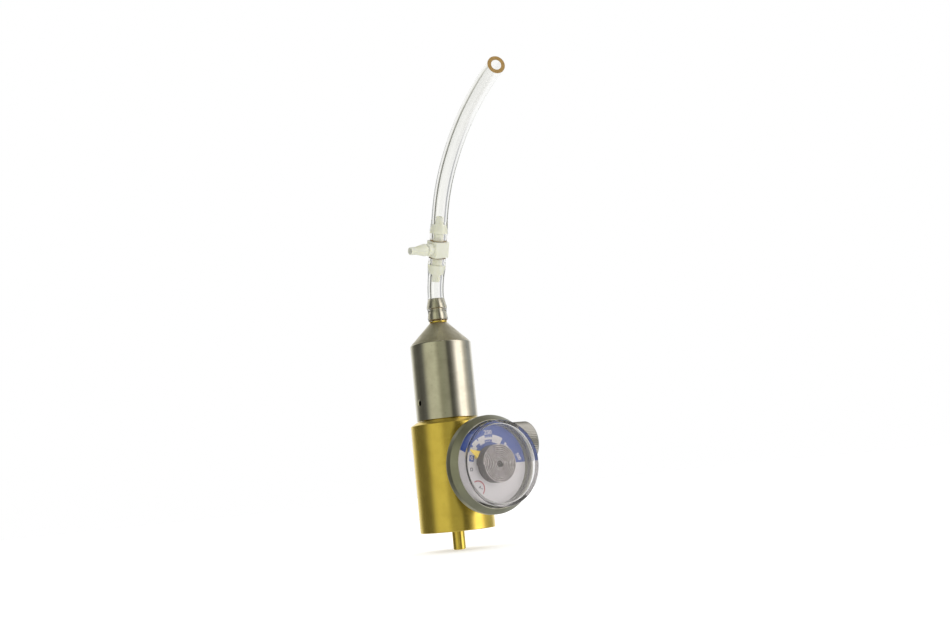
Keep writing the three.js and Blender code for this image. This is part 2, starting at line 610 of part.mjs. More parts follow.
node("tee_fitting", teeFitting(), MATERIALS.tee, teeGroup);
node("lower_hose", lowerHose(), MATERIALS.hose);
node("upper_hose", upperHose(), MATERIALS.hose);

export default regulator;
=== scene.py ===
import math

import bmesh
import bpy
from mathutils import Matrix, Vector


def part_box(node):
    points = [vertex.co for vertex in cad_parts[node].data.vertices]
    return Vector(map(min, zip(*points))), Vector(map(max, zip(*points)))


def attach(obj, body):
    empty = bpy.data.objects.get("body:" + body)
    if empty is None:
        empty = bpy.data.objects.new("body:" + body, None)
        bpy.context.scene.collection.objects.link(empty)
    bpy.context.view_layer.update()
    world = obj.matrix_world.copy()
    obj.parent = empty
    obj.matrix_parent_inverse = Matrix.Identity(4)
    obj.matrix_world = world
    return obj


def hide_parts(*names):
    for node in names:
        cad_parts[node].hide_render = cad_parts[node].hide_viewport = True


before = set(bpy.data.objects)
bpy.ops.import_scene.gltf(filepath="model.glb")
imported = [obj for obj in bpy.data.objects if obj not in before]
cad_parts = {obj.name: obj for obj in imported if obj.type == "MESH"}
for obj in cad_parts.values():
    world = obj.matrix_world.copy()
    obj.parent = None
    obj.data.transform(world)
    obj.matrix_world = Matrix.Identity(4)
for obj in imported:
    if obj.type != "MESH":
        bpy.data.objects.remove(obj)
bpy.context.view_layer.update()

# Outlines, places and radii below are in millimetres; MM turns them into the scene's metres.
MM = 0.001


# ---------- sizes taken from the frame ----------
def corners(node):
    """A CAD node's lowest and highest corner, in millimetres."""
    low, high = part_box(node)
    return Vector(low) / MM, Vector(high) / MM


BODY_LOW, BODY_HIGH = corners("regulator_body")
BONNET_LOW, BONNET_HIGH = corners("bonnet")
WASHER_LOW, WASHER_HIGH = corners("outlet_washer")
BARB_LOW, BARB_HIGH = corners("outlet_barb")
PROBE_LOW, PROBE_HIGH = corners("inlet_probe")
CASE_LOW, CASE_HIGH = corners("gauge_case")
DIAL_LOW, DIAL_HIGH = corners("gauge_dial")
LENS_LOW, LENS_HIGH = corners("gauge_lens")
COIL_LOW, COIL_HIGH = corners("bourdon_coil")
POINTER_LOW, POINTER_HIGH = corners("pointer")
GLAND_LOW, GLAND_HIGH = corners("valve_gland")
STEM_LOW, STEM_HIGH = corners("valve_stem")
KNOB_LOW, KNOB_HIGH = corners("knob")
SCREW_LOW, SCREW_HIGH = corners("knob_set_screw")

GAUGE_HEIGHT = (CASE_LOW.z + CASE_HIGH.z) / 2
VALVE_HEIGHT = (GLAND_LOW.z + GLAND_HIGH.z) / 2
UPRIGHT = Matrix.Identity(4)
# The gauge's own frame has its +Z the way the gauge looks and its +Y up; the valve's has +Z out to the knob.
GAUGE = Matrix.Translation((0, 0, GAUGE_HEIGHT)) @ Matrix.Rotation(math.pi / 2, 4, "X")
VALVE = Matrix.Translation((0, 0, VALVE_HEIGHT)) @ Matrix.Rotation(math.pi / 2, 4, "Y")

# The tee's run is its +Z and its branch points to -X, as in the CAD.
TEE_CENTRE = Vector((-1, -7.1, 119.4))
TEE_LEAN = math.radians(23.4)
TEE_HEADING = math.radians(-98.2)
TEE_TWIST = math.radians(6.6)
TEE_LEAN_AXIS = Vector((-math.sin(TEE_HEADING), math.cos(TEE_HEADING), 0))
TEE = (
    Matrix.Translation(TEE_CENTRE)
    @ Matrix.Rotation(TEE_LEAN, 4, TEE_LEAN_AXIS)
    @ Matrix.Rotation(TEE_TWIST, 4, "Z")
)
TEE_SIDE, TEE_RUN, TEE_BRANCH, TEE_BORE = 7, 14.1, 14.7, 1
STUB_NECK, STUB_RIDGE, STUB_RIDGE_AT, STUB_CONE_END, STUB_TIP = 2.05, 2.7, 7, 11.6, 1.65
TEE_FACE = TEE_SIDE / 2 + 0.3

HOSE_OUTER, HOSE_INNER = 3.5, 2
UPPER_HOSE_ROUTE = [
    (-1.2, -8.6, 122.9), (-1.5, -10.6, 127.6), (-1.8, -12.7, 132.4), (-2.2, -15.9, 138.7),
    (-2.7, -20, 144.6), (-3.2, -24.7, 150), (-3.8, -30, 154.8), (-4.5, -35.7, 159.1),
    (-5.3, -41.7, 162.8), (-6.2, -48.1, 166.1), (-7.2, -54.6, 168.7), (-8.4, -61.4, 170.9),
    (-9.7, -68.2, 172.6), (-11.1, -75.1, 173.9), (-12.8, -82.1, 174.6),
]


# ---------- camera ----------
CAMERA_AZIMUTH = math.radians(-32.6)
CAMERA_ELEVATION = math.radians(-7.56)
CAMERA_ROLL = math.radians(-5.69)
CAMERA_PLACE = Vector((-274.33, -458.63, 18.54))
CAMERA_LENS = 47.42


def build_camera():
    back = Vector((
        math.sin(CAMERA_AZIMUTH) * math.cos(CAMERA_ELEVATION),
        -math.cos(CAMERA_AZIMUTH) * math.cos(CAMERA_ELEVATION),
        math.sin(CAMERA_ELEVATION),
    ))
    level = Vector((math.cos(CAMERA_AZIMUTH), math.sin(CAMERA_AZIMUTH), 0))
    above = back.cross(level)
    right = math.cos(CAMERA_ROLL) * level + math.sin(CAMERA_ROLL) * above
    up = math.cos(CAMERA_ROLL) * above - math.sin(CAMERA_ROLL) * level
    turn = Matrix((right, up, back)).transposed().to_4x4()
    camera = bpy.data.objects.new("camera", bpy.data.cameras.new("camera"))
    camera.data.lens = CAMERA_LENS
    camera.data.clip_start = 0.01
    camera.matrix_world = Matrix.Translation(CAMERA_PLACE * MM) @ turn
    bpy.context.collection.objects.link(camera)
    bpy.context.scene.camera = camera


build_camera()


# ---------- materials ----------
class Look:
    """A Principled material and short calls for the nodes behind its sockets."""

    def __init__(self, name, color, roughness, metallic=0.0, **constants):
        self.material = bpy.data.materials.new(name)
        self.material.use_nodes = True
        self.tree = self.material.node_tree
        self.shader = self.tree.nodes["Principled BSDF"]
        self.set(Base_Color=(*color, 1), Roughness=roughness, Metallic=metallic, **constants)
        self.place = self.add("ShaderNodeTexCoord").outputs["Object"]

    def set(self, **values):
        for name, value in values.items():
            socket = self.shader.inputs[name.replace("_", " ")]
            if isinstance(value, bpy.types.NodeSocket):
                self.tree.links.new(value, socket)
            else:
                socket.default_value = value

    def add(self, kind, settings=None, **inputs):
        node = self.tree.nodes.new(kind)
        for name, value in (settings or {}).items():
            setattr(node, name, value)
        for name, value in inputs.items():
            socket = node.inputs[int(name[1:])] if name[1:].isdigit() else node.inputs[name.replace("_", " ")]
            if isinstance(value, bpy.types.NodeSocket):
                self.tree.links.new(value, socket)
            else:
                socket.default_value = value
        return node

    def math(self, operation, a, b=0.0):
        return self.add("ShaderNodeMath", {"operation": operation}, i0=a, i1=b).outputs[0]

    def stretched(self, scale, turn=(0, 0, 0)):
        """Object coordinates, scaled on each axis after a turn."""
        turned = self.add("ShaderNodeMapping", Vector=self.place, Rotation=turn).outputs[0]
        return self.add("ShaderNodeMapping", Vector=turned, Scale=scale).outputs[0]

    def noise(self, scale, detail=3.0, where=None, rough=0.5):
        return self.add(
            "ShaderNodeTexNoise", Vector=where or self.place, Scale=scale, Detail=detail, Roughness=rough,
        ).outputs[0]

    def levels(self, source, low, high, at_low=0.0, at_high=1.0):
        return self.add(
            "ShaderNodeMapRange", i0=source, i1=low, i2=high, i3=at_low, i4=at_high,
        ).outputs[0]

    def mixed(self, share, first, second):
        """The first colour where share is 0 and the second where it is 1."""
        node = self.add("ShaderNodeMix", {"data_type": "RGBA"})
        for socket, value in ((node.inputs[0], share), (node.inputs[6], first), (node.inputs[7], second)):
            if isinstance(value, bpy.types.NodeSocket):
                self.tree.links.new(value, socket)
            else:
                socket.default_value = value if socket.type == "VALUE" else (*value[:3], 1)
        return node.outputs[2]

    def bump(self, height, depth, strength=1.0):
        node = self.add("ShaderNodeBump", Height=height, Distance=depth * MM, Strength=strength)
        self.set(Normal=node.outputs[0])

    def around(self, axis):
        """Brushed round an axis, so that highlights stretch along it."""
        tangent = self.add("ShaderNodeTangent", {"direction_type": "RADIAL", "axis": axis})
        self.set(Tangent=tangent.outputs[0])

    def lets_lamps_through(self):
        """Shadow and diffuse rays pass straight, as light does through a clear wall."""
        path = self.add("ShaderNodeLightPath")
        straight = self.math("MAXIMUM", path.outputs["Is Shadow Ray"], path.outputs["Is Diffuse Ray"])
        clear = self.add("ShaderNodeBsdfTransparent")
        mix = self.add("ShaderNodeMixShader", i0=straight, i1=self.shader.outputs[0], i2=clear.outputs[0])
        self.tree.links.new(mix.outputs[0], self.tree.nodes["Material Output"].inputs[0])


BRASS = (0.90, 0.68, 0.135)
BRASS_DULL = (0.72, 0.52, 0.09)
NICKEL = (0.70, 0.67, 0.56)
STEEL = (0.39, 0.39, 0.315)


def turned_metal(name, color, dull, roughness, axis, lines, groove, pits, metallic=1.0):
    """Metal with fine tool lines around an axis, cloudy tarnish and small dark pits."""
    look = Look(name, color, roughness, metallic, Anisotropic=0.55, Anisotropic_Rotation=0.25)
    look.around(axis)
    along = [80.0, 80.0, 80.0]
    along["XYZ".index(axis)] = lines
    tool = look.noise(1.0, 2.0, look.stretched(along))
    cloud = look.noise(190.0, 4.0)
    patches = look.noise(60.0, 2.0)
    pit = look.levels(look.noise(1500.0, 2.0), 0.70, 0.76)
    share = look.levels(cloud, 0.42, 0.75, 0.0, 0.6)
    tinted = look.mixed(share, color, dull)
    streaked = look.mixed(look.levels(tool, 0.35, 0.7, 0.0, 0.25), tinted, dull)
    look.set(Base_Color=look.mixed(look.math("MULTIPLY", pit, pits), streaked, [0.25 * c for c in dull]))
    look.set(Roughness=look.levels(patches, 0.3, 0.7, roughness - 0.04, roughness + 0.06))
    height = look.math("SUBTRACT", look.math("MULTIPLY", tool, groove), look.math("MULTIPLY", pit, 0.8))
    look.bump(height, 0.02, 0.5)
    return look.material


def brass(name="brass", axis="Z"):
    return turned_metal(name, BRASS, BRASS_DULL, 0.2, axis, 9000.0, 0.6, 0.6, 0.93)


def nickel():
    return turned_metal("nickel", NICKEL, (0.52, 0.49, 0.40), 0.17, "Z", 6000.0, 0.35, 0.7)


def gauge_steel():
    return turned_metal("gauge_steel", STEEL, (0.27, 0.27, 0.21), 0.33, "Y", 5000.0, 0.8, 0.35)


def cone_nickel():
    look = Look("cone_nickel", (0.62, 0.58, 0.45), 0.4, 1.0)
    cloud = look.noise(220.0, 4.0)
    look.set(Base_Color=look.mixed(look.levels(cloud, 0.35, 0.7), (0.66, 0.62, 0.50), (0.52, 0.48, 0.36)))
    look.set(Roughness=look.levels(cloud, 0.3, 0.7, 0.34, 0.48))
    look.bump(look.noise(2600.0, 3.0), 0.01, 0.5)
    return look.material


def drawn_metal(name, color, dull, roughness=0.3, scale=900.0):
    look = Look(name, color, roughness, 1.0)
    cloud = look.noise(scale, 3.0)
    look.set(Base_Color=look.mixed(look.levels(cloud, 0.35, 0.7), color, dull))
    look.set(Roughness=look.levels(look.noise(scale * 0.4), 0.3, 0.7, roughness - 0.08, roughness + 0.1))
    look.bump(cloud, 0.01, 0.4)
    return look.material


def rubber():
    look = Look("rubber", (0.018, 0.018, 0.018), 0.75)
    grain = look.noise(4000.0, 3.0)
    look.set(Base_Color=look.mixed(grain, (0.012, 0.012, 0.012), (0.035, 0.034, 0.032)))
    look.bump(grain, 0.01, 0.4)
    return look.material


def seal_plastic():
    look = Look("seal_plastic", (0.78, 0.74, 0.64), 0.5)
    lines = look.noise(1.0, 2.0, look.stretched((200.0, 200.0, 12000.0)))
    look.set(Base_Color=look.mixed(lines, (0.82, 0.79, 0.70), (0.70, 0.66, 0.56)))
    look.bump(lines, 0.01, 0.3)
    return look.material


def printed(name, color, variation=0.9):
    """Screen ink: an even colour with a faint mottle and edge."""
    look = Look(name, color, 0.45)
    mottle = look.noise(2500.0, 3.0)
    look.set(Base_Color=look.mixed(look.levels(mottle, 0.3, 0.7), color, [variation * c for c in color]))
    look.bump(mottle, 0.004, 0.3)
    return look.material


def tee_plastic():
    """Milky nylon: soft inside, with a fine moulded grain."""
    look = Look(
        "tee_plastic", (0.69, 0.70, 0.575), 0.38,
        Subsurface_Weight=0.35, Subsurface_Radius=(1.0, 0.95, 0.6), Subsurface_Scale=2 * MM,
    )
    flow = look.noise(140.0, 3.0)
    look.set(Base_Color=look.mixed(look.levels(flow, 0.35, 0.7), (0.715, 0.72, 0.62), (0.66, 0.665, 0.54)))
    look.set(Roughness=look.levels(look.noise(700.0), 0.3, 0.7, 0.32, 0.46))
    look.bump(look.noise(1800.0, 3.0), 0.01, 0.25)
    return look.material


def clear_plastic(name, color, ior, waviness, scale, shine=0.5):
    """Clear plastic whose surface is very slightly wavy."""
    look = Look(name, color, 0.02, Transmission_Weight=1.0, IOR=ior, Specular_IOR_Level=shine)
    look.bump(look.noise(scale, 2.0), waviness, 0.4)
    look.set(Roughness=look.levels(look.noise(scale * 2), 0.35, 0.7, 0.01, 0.05))
    look.lets_lamps_through()
    return look.material


def cut_hose_end():
    """The sawn end of the hose, where the light gathered in its wall comes out amber."""
    look = Look("hose_end", (0.36, 0.21, 0.055), 0.5)
    rings = look.noise(2200.0, 3.0)
    look.set(Base_Color=look.mixed(look.levels(rings, 0.3, 0.7), (0.40, 0.25, 0.075), (0.30, 0.17, 0.04)))
    look.bump(rings, 0.02, 0.5)
    return look.material


MATERIALS = {
    "brass": brass(),
    "brass_gauge": brass("brass_gauge", "Y"),
    "brass_valve": brass("brass_valve", "X"),
    "nickel": nickel(),
    # Painted shade, partly: the knob's nickel plate is the bonnet's nickel made darker for the dimmer light on
    # the knob, and greyer for the knob's own tone.
    "knob_nickel_painted_shade": turned_metal(
        "knob_nickel_painted_shade", (0.46, 0.455, 0.43), (0.36, 0.35, 0.33), 0.36, "X", 6000.0, 0.35, 0.5),
    "cone": cone_nickel(),
    "gauge_steel": gauge_steel(),
    "stem_steel": drawn_metal("stem_steel", (0.6, 0.6, 0.57), (0.45, 0.45, 0.42)),
    "spring_steel": drawn_metal("spring_steel", (0.55, 0.55, 0.54), (0.35, 0.35, 0.34)),
    "bronze": drawn_metal("sintered_bronze", (0.48, 0.30, 0.16), (0.22, 0.13, 0.07), 0.6, 3000.0),
    "coil_edge": drawn_metal("coil_edge", (0.46, 0.43, 0.43), (0.32, 0.28, 0.28), 0.26),
    # Painted shade: a near-black copy of the coil's metal for its sides, so that the gaps between the turns
    # read dark; the front edges keep the plain metal.
    "coil_side_painted_shade": turned_metal(
        "coil_side_painted_shade", (0.065, 0.045, 0.040), (0.03, 0.02, 0.018), 0.4, "Y", 1500.0, 1.5, 0.3),
    "rubber": rubber(),
    "seal_plastic": seal_plastic(),
    "dial_white": printed("dial_white", (0.655, 0.62, 0.63)),
    "dial_blue": printed("dial_blue", (0.009, 0.060, 0.34)),
    "dial_red": printed("dial_red", (0.42, 0.035, 0.05)),
    "dial_black": printed("dial_black", (0.03, 0.03, 0.04)),
    "pointer": printed("pointer_yellow", (0.86, 0.60, 0.035)),
    "tee": tee_plastic(),
    "hose": clear_plastic("clear_hose", (0.985, 0.985, 0.975), 1.52, 0.02, 120.0),
    "lens": clear_plastic("clear_lens", (0.985, 0.985, 0.99), 1.5, 0.005, 60.0, 0.2),
    "hose_end": cut_hose_end(),
}


# ---------- mesh building ----------
def finished(name, mesh, *looks, sharp=32):
    """Links a mesh as a piece, smooth except across corners sharper than sharp degrees."""
    piece = bpy.data.objects.new(name, mesh)
    bpy.context.collection.objects.link(piece)
    for look in looks:
        mesh.materials.append(MATERIALS[look])
    soften(piece, sharp)
    return piece


def soften(piece, sharp=32):
    piece.data.shade_smooth()
    piece.data.set_sharp_from_angle(angle=math.radians(sharp))


def mesh_from(name, points, faces, place=UPRIGHT):
    mesh = bpy.data.meshes.new(name)
    mesh.from_pydata([(place @ Vector(p)) * MM for p in points], [], faces)
    shell = bmesh.new()
    shell.from_mesh(mesh)
    bmesh.ops.recalc_face_normals(shell, faces=shell.faces)
    shell.to_mesh(mesh)
    shell.free()
    return mesh


def rounded(outline, closed=False, steps=5):
    """The outline's points; a corner with a third number is rounded to that radius."""
    count = len(outline)
    points = []
    for i, corner in enumerate(outline):
        here = Vector(corner[:2])
        if len(corner) == 2 or (not closed and i in (0, count - 1)):
            points.append(here)
            continue
        before = (Vector(outline[i - 1][:2]) - here).normalized()
        after = (Vector(outline[(i + 1) % count][:2]) - here).normalized()
        half = before.angle(after) / 2
        centre = here + (before + after).normalized() * corner[2] / math.sin(half)
        start = here + before * corner[2] / math.tan(half) - centre
        end = here + after * corner[2] / math.tan(half) - centre
        points += [centre + start.slerp(end, k / steps) * corner[2] for k in range(steps + 1)]
    return points


def subdivided(points, longest):
    """The same path with extra points, so that no step is longer than the given length."""
    path = []
    for a, b in zip(points, points[1:]):
        pieces = max(1, math.ceil((b - a).length / longest))
        path += [a.lerp(b, k / pieces) for k in range(pieces)]
    return path + [points[-1]]


def lathe_mesh(name, outline, place=UPRIGHT, segments=160, closed=False, longest=1000.0, wave=None):
    """Turns [radius, height] points about Z. wave(angle, radius, height) may move the radius."""
    path = rounded(outline, closed)
    if closed:
        path.append(path[0])
    path = subdivided(path, longest)
    if closed:
        path.pop()
    points, rows = [], []
    for point in path:
        radius, height = point
        if radius < 1e-6:
            rows.append([len(points)] * segments)
            points.append((0, 0, height))
            continue
        rows.append(list(range(len(points), len(points) + segments)))
        for k in range(segments):
            angle = 2 * math.pi * k / segments
            r = wave(angle, radius, height) if wave else radius
            points.append((r * math.cos(angle), r * math.sin(angle), height))
    faces = []
    pairs = list(zip(rows, rows[1:])) + ([(rows[-1], rows[0])] if closed else [])
    for low, high in pairs:
        for k in range(segments):
            n = (k + 1) % segments
            corners_here = list(dict.fromkeys((low[k], low[n], high[n], high[k])))
            if len(corners_here) > 2:
                faces.append(corners_here)
    return mesh_from(name, points, faces, place)


def turned(name, outline, look, place=UPRIGHT, **options):
    return finished(name, lathe_mesh(name, outline, place, **options), look)


def prism_mesh(name, outline, bottom, top, place=UPRIGHT):
    """An upright prism over a flat outline of [x, y] points."""
    count = len(outline)
    points = [(x, y, bottom) for x, y in outline] + [(x, y, top) for x, y in outline]
    sides = [(k, (k + 1) % count, count + (k + 1) % count, count + k) for k in range(count)]
    return mesh_from(name, points, [range(count), range(count, 2 * count), *sides], place)


def carve(piece, mesh, operation="DIFFERENCE"):
    """Cuts, joins or trims a piece by a tool mesh, at once."""
    tool = bpy.data.objects.new("tool", mesh)
    bpy.context.collection.objects.link(tool)
    change = piece.modifiers.new("carve", "BOOLEAN")
    change.operation, change.solver, change.object = operation, "EXACT", tool
    bpy.context.view_layer.update()
    result = bpy.data.meshes.new_from_object(piece.evaluated_get(bpy.context.evaluated_depsgraph_get()))
    piece.modifiers.clear()
    piece.data = result
    bpy.data.objects.remove(tool)
    soften(piece)
    return piece


def one_look(piece, look):
    """Gives a piece that was joined from several meshes a single material."""
    piece.data.materials.clear()
    piece.data.materials.append(MATERIALS[look])


def drilled(piece, radius, place, low, high, mouth=0.0):
    """Drills a hole along a frame's Z, with a small countersink at its high end."""
    outline = [(0, low), (radius, low), (radius, high - mouth), (radius + mouth, high), (0, high)]
    return carve(piece, lathe_mesh("drill", outline, place, 40))


def hexagon(across, bottom, top, place, chamfer=0.9):
    """A hexagon whose outer corners are turned off at both ends."""
    corner = across / math.sqrt(3)
    turns = [math.pi * (k + 0.5) / 3 for k in range(6)]
    outline = [(corner * math.cos(turn), corner * math.sin(turn)) for turn in turns]
    piece = finished("hexagon", prism_mesh("hexagon", outline, bottom, top, place), "brass")
    edge = corner - chamfer
    cone = [(0, bottom), (edge, bottom), (corner + 0.1, bottom + 0.55), (corner + 0.1, top - 0.55),
            (edge, top), (0, top)]
    mesh = carve(piece, lathe_mesh("cone", cone, place, 96), "INTERSECT").data
    bpy.data.objects.remove(piece)
    return mesh


def place_piece(piece, body, slot, *nodes):
    """Puts a piece on the body it moves with and hides the CAD nodes it stands for; the slot, its finish, is
    not used.
    """
    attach(piece, body)
    if nodes:
        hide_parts(*nodes)


# ---------- hoses ----------
def smooth_route(route, steps=8):
    """Points along a Catmull-Rom curve through the route."""
    knots = [Vector(p) for p in route]
    knots = [2 * knots[0] - knots[1], *knots, 2 * knots[-1] - knots[-2]]
    path = []
    for a, b, c, d in zip(knots, knots[1:], knots[2:], knots[3:]):
        for k in range(steps):
            t = k / steps
            path.append(0.5 * (
                2 * b + (c - a) * t + (2 * a - 5 * b + 4 * c - d) * t**2 + (3 * b - a - 3 * c + d) * t**3
            ))
    return path + [knots[-2]]


def lengths_along(path):
    total, lengths = 0.0, [0.0]
    for a, b in zip(path, path[1:]):
        total += (b - a).length
        lengths.append(total)
    return lengths


def between(stops, at):
    """The value at a place, between [place, value] stops."""
    if at <= stops[0][0]:
        return stops[0][1]
    for (a, low), (b, high) in zip(stops, stops[1:]):
        if at <= b:
            return low + (high - low) * (at - a) / (b - a)
    return stops[-1][1]


def resampled(path, step):
    """Evenly spaced points along a path, and how far along it each lies."""
    lengths = lengths_along(path)
    count = max(2, round(lengths[-1] / step))
    points, places, k = [], [], 0
    for i in range(count + 1):
        at = lengths[-1] * i / count
        while k < len(path) - 2 and lengths[k + 1] < at:
            k += 1
        share = (at - lengths[k]) / (lengths[k + 1] - lengths[k])
        points.append(path[k].lerp(path[k + 1], min(1, share)))
        places.append(at)
    return points, places


def hose(name, path, outer_stops, inner_stops, sides=56, step=0.4):
    """A tube along a path whose walls follow stops of [distance, radius]. Its ends are sawn flat."""
    points, places = resampled(path, step)
    across = Vector((1, 0, 0))
    rings = []
    for i, point in enumerate(points):
        way = (points[min(i + 1, len(points) - 1)] - points[max(i - 1, 0)]).normalized()
        across = (across - way * across.dot(way)).normalized()
        other = way.cross(across)
        rings.append([
            across * math.cos(2 * math.pi * k / sides) + other * math.sin(2 * math.pi * k / sides)
            for k in range(sides)
        ])
    walls = [
        [p + ray * between(stops, at) for ray in ring]
        for stops, order in ((outer_stops, 1), (inner_stops, -1))
        for p, at, ring in list(zip(points, places, rings))[::order]
    ]
    vertices = [point for wall in walls for point in wall]
    count, half = len(walls), len(points)
    faces = []
    for row in range(count):
        for k in range(sides):
            n, up = (k + 1) % sides, (row + 1) % count
            faces.append((row * sides + k, row * sides + n, up * sides + n, up * sides + k))
    mesh = mesh_from(name, vertices, faces)
    piece = finished(name, mesh, "hose", "hose_end", sharp=40)
    for row in (half - 1, count - 1):
        for k in range(sides):
            mesh.polygons[row * sides + k].material_index = 1
    return piece


# The stretched end of a hose over one of the tee's stubs, by distance from its cut end. The bore
# presses a little into the stub, as soft hose does, so that no air shows between them.
STUB_OUTSIDE = [
    (0, 3.72), (1.6, 3.64), (2.5, 3.8), (3.2, 3.95), (4.0, 3.95), (6.0, 3.75), (8.5, 3.55), (10.5, HOSE_OUTER),
]
STUB_BORE = [
    (0, 2.5), (2.3, 2.42), (2.9, 2.5), (3.15, 2.62), (3.5, 2.62), (7.0, 1.9), (7.6, 1.92), (8.4, HOSE_INNER),
]


def upper_hose():
    """The free hose: from the tee's face to its cut end."""
    path = smooth_route(UPPER_HOSE_ROUTE)
    piece = hose("upper_hose_tube", path, STUB_OUTSIDE, STUB_BORE)
    place_piece(piece, "root", "clear_hose", "upper_hose")
    lengths_along(path)[-1] * MM


def tee_point(height):
    return TEE @ Vector((0, 0, height))


def lower_hose():
    """The short hose from the metal barb to the tee."""
    barb_base, barb_top = Vector((0, 0, WASHER_HIGH.z + 0.35)), Vector((0, 0, BARB_HIGH.z))
    turn, end = Vector((0, 0, barb_top.z + 3.9)), tee_point(-TEE_RUN)
    bend = [barb_top * (1 - t) ** 2 + turn * 2 * t * (1 - t) + end * t**2 for t in (k / 16 for k in range(17))]
    path = [barb_base, *bend, tee_point(-TEE_FACE)]
    total = lengths_along(path)[-1]
    outer = [(0, 4.05), (0.4, 4.2), (0.8, 4.3), (1.4, 4.3), (3.4, 4.0), (4.6, 4.15), (5.4, 4.35), (6.0, 4.35),
             (8.0, 3.9), (9.2, 3.65), (10.4, 3.5)]
    outer += [(total - at, radius) for at, radius in STUB_OUTSIDE[::-1]]
    inner = [(0, 3.0), (0.3, 3.1), (0.6, 3.25), (1.0, 3.25), (4.3, 2.55), (4.8, 2.7), (5.3, 3.25), (5.7, 3.25),
             (8.8, 2.3), (9.6, 2.2), (10.4, HOSE_INNER)]
    inner += [(total - at, radius) for at, radius in STUB_BORE[::-1]]
    place_piece(hose("lower_hose_tube", path, outer, inner, step=0.3), "root", "clear_hose", "lower_hose")


upper_hose()
lower_hose()


# ---------- brass body and inlet ----------
BODY_RADIUS, BODY_TOP = BODY_HIGH.x, 46.5
SOCKET_RADIUS, SOCKET_DEPTH = 7.94, 13
THREAD_PITCH, THREAD_DEPTH = 25.4 / 18, 0.76


def socket_thread(angle, radius, height):
    """A right-hand thread that stands inwards from the socket's wall."""
    inside = abs(radius - SOCKET_RADIUS) < 1e-3 and 0.8 < height < SOCKET_DEPTH - 1.2
    if not inside:
        return radius
    turn = (height / THREAD_PITCH - angle / (2 * math.pi)) % 1
    ends = min(1, (height - 0.8) / 0.8, (SOCKET_DEPTH - 1.2 - height) / 0.8)
    return radius - THREAD_DEPTH * ends * min(1, 1.25 * (1 - abs(2 * turn - 1)))


def regulator_body():
    outline = [
        (0, 28), (2, 28), (2, 23), (3.7, 23), (3.7, SOCKET_DEPTH), (SOCKET_RADIUS, SOCKET_DEPTH),
        (SOCKET_RADIUS, 0.8), (SOCKET_RADIUS + 0.5, 0), (BODY_RADIUS, 0, 0.4),
        (BODY_RADIUS, BODY_TOP - 1.6, 0.25), (BODY_RADIUS - 2.7, BODY_TOP, 0.2), (10.2, BODY_TOP),
        (10.2, 48.9, 0.1), (8.8, 48.9), (8.8, 50.9), (10.2, 50.9, 0.1), (10.2, BODY_HIGH.z, 0.3),
        (2.7, BODY_HIGH.z, 0.2), (2.7, 39), (0, 39),
    ]
    piece = turned("brass_body", outline, "brass", segments=192, longest=0.24 * 8, wave=socket_thread)
    drilled(piece, 4.2, GAUGE, 7.5, BODY_RADIUS + 0.2, 0.4)
    drilled(piece, 5.2, VALVE, 10.3, BODY_RADIUS + 0.2, 0.4)
    place_piece(piece, "root", "brass", "regulator_body")


def inlet_probe():
    low, flange, top = PROBE_LOW.z, SOCKET_DEPTH - 0.3, PROBE_HIGH.z
    pin = [(0.6, low), (2.64, low, 0.5), (2.64, flange - 2.4), (2.4, flange - 2.3), (3.4, flange + 0.2),
           (3.4, top, 0.4), (0.6, top)]
    piece = turned("probe_pin", pin, "brass", closed=True, segments=96)
    carve(piece, hexagon(9.2, flange - 2.4, flange, UPRIGHT, 0.5), "UNION")
    drilled(piece, 0.6, UPRIGHT, low - 1, top + 1)
    one_look(piece, "brass")
    place_piece(piece, "root", "brass", "inlet_probe")


regulator_body()
inlet_probe()


# ---------- bonnet and outlet ----------
VENT_HEIGHT, VENT_RADIUS = 54.3, 1.15


def bonnet():
    radius, low, top = BONNET_HIGH.x, BONNET_LOW.z, BONNET_HIGH.z
    shoulder, mouth, bore = 79.1, 3.75, 10.6
    outline = [
        (bore, low), (radius, low, 0.3), (radius, shoulder, 0.9), (mouth, top, 0.25), (2.7, top, 0.1),
        (2.7, 80.6), (bore, 75.4, 0.5),
    ]
    piece = turned("nickel_bonnet", outline, "nickel", closed=True, segments=192, longest=3)
    vent = Matrix.Translation((0, 0, VENT_HEIGHT)) @ Matrix.Rotation(-math.pi / 2, 4, "Y")
    drilled(piece, VENT_RADIUS, vent, bore - 1, radius + 0.02, 0.45)
    piece.data.materials.append(MATERIALS["cone"])
    for face in piece.data.polygons:
        centre = face.center / MM
        if centre.z > shoulder + 0.3 and math.hypot(centre.x, centre.y) > 2.8 and face.normal.z > 0.1:
            face.material_index = 1
    place_piece(piece, "root", "nickel_plate", "bonnet")


def outlet():
    low, high = WASHER_LOW.z, WASHER_HIGH.z
    washer = [(2.7, low), (WASHER_HIGH.x, low, 0.15), (WASHER_HIGH.x, high, 0.15), (2.7, high)]
    ring = turned("barb_washer", washer, "brass", closed=True, segments=96)
    place_piece(ring, "root", "brass", "outlet_washer")
    top, middle, bottom = BARB_HIGH.z, (BARB_HIGH.z + 89.4) / 2, 89.4
    barb = [
        (1.2, 81), (2.4, 81, 0.15), (2.4, bottom - 0.3), (2.6, bottom - 0.25), (2.6, bottom),
        (3.35, bottom + 0.5, 0.1), (3.32, bottom + 0.85, 0.1), (2.6, middle + 0.3, 0.2),
        (3.35, middle + 0.7, 0.1), (3.32, middle + 1.05, 0.1), (2.35, top, 0.25), (0.9, top, 0.1),
        (0.9, 84.5), (1.2, 84.4),
    ]
    piece = turned("metal_barb", barb, "nickel", closed=True, segments=96)
    place_piece(piece, "root", "nickel_plate", "outlet_barb")


bonnet()
outlet()


# ---------- pressure gauge ----------
def gauge_front(node_low):
    """How far a node's front stands out from the regulator's axis."""
    return -node_low.y


